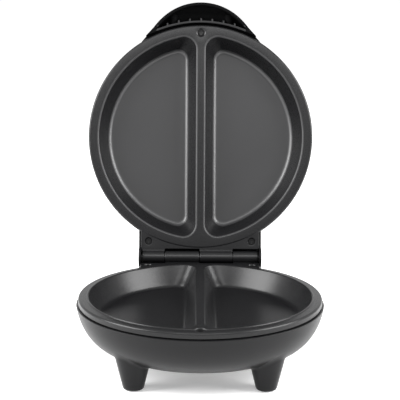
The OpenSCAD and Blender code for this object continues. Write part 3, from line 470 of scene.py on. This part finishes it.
# Lower cooking plate. A die casting with two half-moon wells, a low bead round
# their mouths, a rounded edge over a short skirt, and at the back a flat tab
# with two knuckles. It is coated dark grey.
plate_r = 96.0
plate_edge = 1.8
skirt_low = -4.9
skirt_mid = -3.4
skirt_t = 2.2
flange_t = 3.0
mouth_r = 87.5
floor_r = 78.3
well_depth = 16.0
well_wall = 2.5
divider_half = 3.6
divider_foot = 12.0
mouth_corner = 11.0
floor_corner = 8.0
floor_round = 5.0
seat_floor = 2.65
seat_depth = 1.1
bead_h = 0.8
bead_r = 89.3
bead_gap = 3.9
hinge_y = 103.5
hinge_z = 62.0
lower_face = 59.2
knuckle_r = 5.2
knuckle_ends = (-49.6, -30.0, -0.5, 28.0, 49.6)
knuckle_gap = 0.4
tab_half = 50.5
tab_start = 92.0
tab_step = 0.5
tab_edge = 0.6
tab_seat = 3.7
notch = 1.2
front_screw = (0.0, -89.5)
tab_screws = ((-44.0, 90.0), (44.0, 90.0))


def half_moon(bm, side, out, share, z):
    """Outline of one well: an arc, the divider's side and two round corners.
    share is how far down the well it lies, and out moves it outwards."""
    r = mouth_r + (floor_r - mouth_r) * share + out
    foot = divider_half + (divider_foot - divider_half) * share - out
    corner = mouth_corner + (floor_corner - mouth_corner) * share + out
    cx = foot + corner
    cy = math.sqrt((r - corner) ** 2 - cx ** 2)
    turn = math.degrees(math.atan2(cy, cx))
    points = arc((0, 0), r, -turn, turn, 120) + arc((cx, cy), corner, turn, 180, 20)[1:]
    points += [(foot, cy - 2 * cy * i / 40) for i in range(1, 40)]
    points += arc((cx, -cy), corner, 180, 360 - turn, 20)[:-1]
    return ring_of(bm, [(side * x, y, z) for x, y in points])


def add_well(bm, side, top, lip_round):
    """A well: rounded lip, drafted wall, fillet and floor. Gives back the lip's loop.
    Floor and lip get the second material and the fillet the third; on the upper plate these are paler copies
    of the coating, painted light and a painted highlight."""
    old_faces = set(bm.faces)
    turn = 90 - math.degrees(math.atan((mouth_r - floor_r) / well_depth))
    reach = math.tan(math.radians(turn / 2))
    loops = []
    for i in range(7):
        t = math.radians(turn * i / 6)
        loops.append(half_moon(bm, side, lip_round * (reach - math.sin(t)), -top / well_depth,
                               top - lip_round * (1 - math.cos(t))))
    for share in (0.25, 0.5, 0.75):
        loops.append(half_moon(bm, side, 0.0, share, -well_depth * share))
    for i in range(8):
        t = math.radians(turn * (7 - i) / 7)
        loops.append(half_moon(bm, side, floor_round * (math.sin(t) - reach), 1.0,
                               -well_depth + floor_round * (1 - math.cos(t))))
    join_loops(bm, loops)
    bmesh.ops.contextual_create(bm, geom=loops[-1])
    round_share = 1 - math.cos(math.radians(turn))
    slack, floor_share = 0.01, 0.04
    # Floor, fillet and lip faces pick the slots that carry painted light and a painted highlight on the
    # upper plate.
    for face in set(bm.faces) - old_faces:
        heights = [v.co.z for v in face.verts]
        if max(heights) < floor_round * round_share + slack - well_depth:
            face.material_index = 2 if min(heights) > floor_round * floor_share - well_depth else 1
        elif min(heights) > top - lip_round * round_share - slack:
            face.material_index = 1
    return loops[0]


def round_loop(bm, centre, r, z, steps=48):
    return ring_of(bm, [(centre[0] + x, centre[1] + y, z)
                        for x, y in arc((0, 0), r, 0, 360 - 360 / steps, steps - 1)])


def add_dimple(bm, centre, r, top):
    """Dished seat of a screw: a soft edge, a sloping side and a flat bottom."""
    loops = [round_loop(bm, centre, ring, top - drop) for ring, drop in (
        (r, 0), (r - 0.25, 0.03), (r - 0.5, 0.14), (seat_floor + 0.3, seat_depth - 0.18),
        (seat_floor + 0.15, seat_depth - 0.05), (seat_floor, seat_depth))]
    join_loops(bm, loops)
    bmesh.ops.contextual_create(bm, geom=loops[-1])
    return loops[0]


def bead_loop(bm, out, z):
    """Outline of the bead, which stops short of the front screw."""
    gap = bead_gap - out
    points = []
    for x, y in arc((0, 0), 1.0, 0, 360 - 360 / 256, 255):
        near = x * front_screw[0] + y * front_screw[1]
        inside = gap ** 2 - front_screw[1] ** 2 + near ** 2
        r = bead_r + out
        if near > 0 and inside > 0:
            r = min(r, near - math.sqrt(inside))
        points.append((r * x, r * y, z))
    return ring_of(bm, points)


def fill_between(bm, loops):
    bmesh.ops.triangle_fill(bm, use_beauty=True, use_dissolve=False, edges=sum(loops, []), normal=(0, 0, 1))


def add_tab(bm, owned, axis_z):
    """Flat tab behind the plate with its two screw seats, and the knuckles at its end."""
    end_y = hinge_y - knuckle_r - 0.5
    top = -tab_step
    profile = arc((-tab_edge, top - tab_edge), tab_edge, 90, 0, 5) + [(0, skirt_low)]
    loops = []
    for grow, z in profile:
        turn = math.degrees(math.acos((tab_half + grow) / tab_start))
        end = []
        for i in (3, 2, 1, 0):
            left = -tab_half - grow if i == 0 else knuckle_ends[i]
            right = tab_half + grow if i == 3 else knuckle_ends[i + 1]
            y = end_y + grow - (0 if i in owned else notch)
            end += [(right, y), (left, y)]
        front = arc((0, 0), tab_start, 180 - turn, turn, 40)
        loops.append(ring_of(bm, [(x, y, z) for x, y in front + end]))
    fill_between(bm, [loops[0]] + [add_dimple(bm, spot, tab_seat, top) for spot in tab_screws])
    join_loops(bm, loops)
    bmesh.ops.contextual_create(bm, geom=loops[-1])
    for i in owned:
        low, high = knuckle_ends[i] + knuckle_gap, knuckle_ends[i + 1] - knuckle_gap
        barrel = bmesh.ops.create_cone(bm, cap_ends=True, segments=72, radius1=knuckle_r,
                                       radius2=knuckle_r, depth=high - low)["verts"]
        bmesh.ops.rotate(bm, verts=barrel, cent=(0, 0, 0), matrix=Matrix.Rotation(math.pi / 2, 3, "Y"))
        bmesh.ops.translate(bm, verts=barrel, vec=((low + high) / 2, hinge_y, axis_z))
        edges = {e for v in barrel for e in v.link_edges}
        round_edges(bm, [e for e in edges if abs(e.verts[0].co.x - e.verts[1].co.x) < 1e-3], 0.5)
        soft_block(bm, (low, end_y - 1.0, -flange_t), (high, hinge_y - 2.0, top), 0.3)


def cast_plate(name, bead, lip_round, seat_r, owned, place, axis_z):
    """A whole plate, its face at height 0. owned says which of the four knuckles are its own."""
    bm = bmesh.new()
    spin_section(bm, [(plate_r - skirt_t, -flange_t), (plate_r - skirt_t, skirt_low + 0.3),
                      (plate_r - skirt_t + 0.3, skirt_low), (plate_r - 0.3, skirt_low),
                      (plate_r, skirt_low + 0.3), (plate_r, skirt_mid)]
                 + arc((plate_r - plate_edge, -plate_edge), plate_edge, 0, 90, 10), 256)
    edges = [e for e in bm.edges if e.is_boundary]
    face = [e for e in edges if abs(e.verts[0].co.z) < 1e-3]
    back = [e for e in edges if abs(e.verts[0].co.z) > 1]
    lips = [add_well(bm, side, bead, lip_round) for side in (1, -1)]
    seat = add_dimple(bm, front_screw, seat_r, 0.0)
    if bead:
        steps = [bead_loop(bm, out, z) for out, z in (
            (0.5, 0.0), (0.22, 0.04), (0.06, 0.18), (0.0, 0.35), (-0.06, 0.55), (-0.2, 0.72), (-0.45, bead))]
        join_loops(bm, steps)
        fill_between(bm, [face, steps[0], seat])
        fill_between(bm, [steps[-1]] + lips)
    else:
        fill_between(bm, [face, seat] + lips)
    outsides = []
    for side in (1, -1):
        shells = [half_moon(bm, side, well_wall - 1, share, z) for share, z in (
            (0.15, -flange_t), (0.98, -well_depth - 1.6), (1.06, -well_depth - well_wall))]
        join_loops(bm, shells)
        bmesh.ops.contextual_create(bm, geom=shells[-1])
        outsides.append(shells[0])
    fill_between(bm, [back] + outsides)
    add_tab(bm, owned, axis_z)
    return finish_piece(bm, name, place)


coating = grained("nonstick_coating", (0.0055, 0.0055, 0.006), 0.29, 0.35, 2200.0, specular=0.27)
lower_plate = cast_plate("lower_plate", bead_h, lip_round=1.4, seat_r=3.6, owned=(1, 3),
                         place=on_base @ Matrix.Translation((0, 0, lower_face)),
                         axis_z=hinge_z - lower_face)
for _ in range(3):
    lower_plate.data.materials.append(coating)
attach(lower_plate, "base")
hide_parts("lower_cooking_plate")

# Plate screws and hinge pin. Dark countersunk screws hold the plate to the
# bosses of the bowl, and one steel pin runs through all four knuckles.
dark_screw = grained("black_oxide", (0.004, 0.004, 0.0042), 0.45, 0.2, 1500.0, specular=0.12)
oiled = grained("oiled_steel", (0.05, 0.05, 0.052), 0.5, 0.2, 1500.0, metallic=1.0)
dress(dark_screw, "lower_plate_screws")
dress(oiled, "hinge_pin")

# Lid casing. The same satin moulding as the bowl: a shallow dome with a hinge
# cover behind it, whose two cheeks close off the ends of the knuckles.
open_angle = math.radians(105.5)
lid_rim_r = 96.3
lid_rim_z = 66.1
lid_depth = 29.0
lid_corner = 25.4
cover_r = 8.0
cover_in = 5.8
cover_reach = 34.0
cover_bend = 65
cover_end = 12
cheek_in = 50.8
cheek_out = 52.4
cheek_edge = 0.35
on_lid = (on_base @ Matrix.Translation((0, hinge_y, hinge_z)) @ Matrix.Rotation(-open_angle, 4, "X")
          @ Matrix.Translation((0, -hinge_y, -hinge_z)))


def side_prism(bm, outline, low, high, edge):
    """Extrudes a side view along the pin and rounds the edges of its two ends."""
    verts = [bm.verts.new((low, hinge_y + y, hinge_z + z)) for y, z in outline]
    end = bm.faces.new(verts)
    made = bmesh.ops.extrude_face_region(bm, geom=[end])["geom"]
    moved = [v for v in made if isinstance(v, bmesh.types.BMVert)]
    bmesh.ops.translate(bm, verts=moved, vec=(high - low, 0, 0))
    far = [f for f in made if isinstance(f, bmesh.types.BMFace)]
    if edge:
        round_edges(bm, [e for f in far + [end] for e in f.edges], edge)


def slope_start(r):
    """Where the cover's slope begins, for the surface at radius r round the pin."""
    foot_y, foot_z = arc((0, 0), r, cover_bend, cover_bend, 1)[0]
    return (-cover_reach, foot_z + (cover_reach + foot_y) * math.tan(math.radians(90 - cover_bend)))


bm = bmesh.new()
spin_section(bm, [(r, lid_rim_z - z) for r, z in casing_section(lid_rim_r, lid_depth, lid_corner)], 224)
outside = [slope_start(cover_r)] + arc((0, 0), cover_r, cover_bend, cover_end, 14)
inside = arc((0, 0), cover_in, cover_end, cover_bend, 12) + [slope_start(cover_in)]
side_prism(bm, outside + inside, -cheek_in, cheek_in, 0)
side_x = casing_arcs(lid_rim_r, lid_depth, lid_corner)[0][0]
front = []
for i in range(11):
    rise = 2.0 * i
    r = side_x + math.sqrt(side_r ** 2 - (rise + side_rise) ** 2) - wall / 2
    front.append((math.sqrt(r ** 2 - cheek_out ** 2) - hinge_y, rise + lid_rim_z - hinge_z))
meet = 180 - math.degrees(math.asin((lid_rim_z - hinge_z) / cover_r))
cheek = front + arc((0, 0), cover_r, cover_bend, meet - 360, 56)
for low, high in ((-cheek_out, -cheek_in), (cheek_in, cheek_out)):
    side_prism(bm, cheek, low, high, cheek_edge)
lid_shell = finish_piece(bm, "lid_shell", on_lid)
lid_shell.data.materials.append(satin)
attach(lid_shell, "lid")
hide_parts("lid_casing")

# Lid grip. A black moulded visor screwed to the front of the lid from inside,
# hollow underneath, with nine stiffening ribs against its back wall. Its ends flare
# out towards the lid. Its black is the plastic's own and darker still as painted shade
# for the hollow, and the ledge that carries the ribs is paler as painted light.
# Grip black: the plastic's own colour, darkened further as painted shade for the hollow. Ledge black: paler,
# painted light.
black = grained("black_moulding_painted_shade", (0.0034, 0.0034, 0.0036), 0.60, 0.3, 1600.0, specular=0.02)
ledge_painted_light = grained("ledge_black_painted_light", (0.009, 0.009, 0.0095), 0.45, 0.3, 1600.0, specular=0.2)
ledge_z = 62.4
ledge_r = 102.7
ledge_half = 38.0
flare = 1.4
flare_x = (34.0, 46.0)
flare_y = (-106.0, -84.0)


def share_between(value, ends):
    """How far a value lies from one end to the other, from 0 to 1."""
    return min(1.0, max(0.0, (value - ends[0]) / (ends[1] - ends[0])))


bm = bmesh.new()
bm.from_mesh(nodes["lid_handle"].data)
bmesh.ops.scale(bm, verts=bm.verts, vec=(1000, 1000, 1000))
bmesh.ops.remove_doubles(bm, verts=bm.verts, dist=1e-3)
for x in (-ledge_half, ledge_half):
    bmesh.ops.bisect_plane(bm, geom=bm.verts[:] + bm.edges[:] + bm.faces[:], dist=1e-3,
                           plane_co=(x, 0, 0), plane_no=(1, 0, 0))
to_lid = on_lid.inverted() @ Matrix.Scale(0.001, 4)
for v in bm.verts:
    spot = to_lid @ v.co
    outer = share_between(abs(spot.x), flare_x)
    behind = share_between(spot.y, flare_y)
    v.co.x += math.copysign(flare * outer * behind, v.co.x)
# Ledge faces take the paler black: painted light on the ledge.
for face in bm.faces:
    spot = to_lid @ face.calc_center_median()
    if spot.z < ledge_z and spot.xy.length < ledge_r and abs(spot.x) < ledge_half:
        face.material_index = 1
grip = finish_piece(bm, "lid_grip", Matrix.Scale(0.001, 4))
soften = grip.modifiers.new("soft_edges", "BEVEL")
soften.width = 0.0005
soften.segments = 2
soften.limit_method = "ANGLE"
soften.angle_limit = math.radians(50)
soften.harden_normals = False
grip.data.materials.append(black)
grip.data.materials.append(ledge_painted_light)
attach(grip, "lid")
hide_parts("lid_handle")
dress(zinc, "handle_screws")

# Upper cooking plate. The same casting as the lower one without the bead, with
# its own pair of knuckles, held by three dark countersunk screws. The floors and
# lips of its wells are paler than the rest as painted light, and their fillets
# paler still as a painted highlight line.
upper_face = 60.4
face_down = Matrix.Scale(-1, 4, (0, 0, 1))
upper_plate = cast_plate("upper_plate", 0.0, lip_round=1.9, seat_r=4.3, owned=(0, 2),
                         place=on_lid @ Matrix.Translation((0, 0, upper_face)) @ face_down,
                         axis_z=upper_face - hinge_z)
# Paler copies of the coating: painted light on floors and lips, a painted highlight on the fillets.
dull_coating_painted_light = grained("dull_coating_painted_light", (0.013, 0.013, 0.0138), 0.44, 0.35, 2200.0, specular=0.42)
coating_painted_highlight = grained("coating_painted_highlight", (0.018, 0.018, 0.019), 0.38, 0.35, 2200.0, specular=0.64)
for finish in (coating, dull_coating_painted_light, coating_painted_highlight):
    upper_plate.data.materials.append(finish)
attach(upper_plate, "lid")
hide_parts("upper_cooking_plate")
dress(dark_screw, "upper_plate_screws")

# Upper heater and wiring. As in the base, with a thermal fuse in a sleeve under
# a spring clip where the base has its thermostat.
dress(tube, "upper_heating_element")
dress(ceramic, "upper_element_beads")
dress(sheet, "upper_heat_shield")
dress(zinc, "upper_shield_screws", "fuse_clip")
dress(glass_sleeve, "thermal_fuse", "lid_leads")

# Lamps. Two clear coloured lenses in the top of the lid, over small neon lamps
# on a nylon strip that is heat-staked to posts of the casing.
red = grained("red_lens", (0.45, 0.01, 0.01), 0.15, 0.05, 1500.0)
green = grained("green_lens", (0.01, 0.28, 0.04), 0.15, 0.05, 1500.0)
bulb = grained("lamp_bulb", (0.8, 0.5, 0.3), 0.15, 0.05, 1500.0)
dress(red, "power_lens")
dress(green, "ready_lens")
dress(nylon, "lamp_holder")
dress(bulb, "neon_lamps")

low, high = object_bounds()
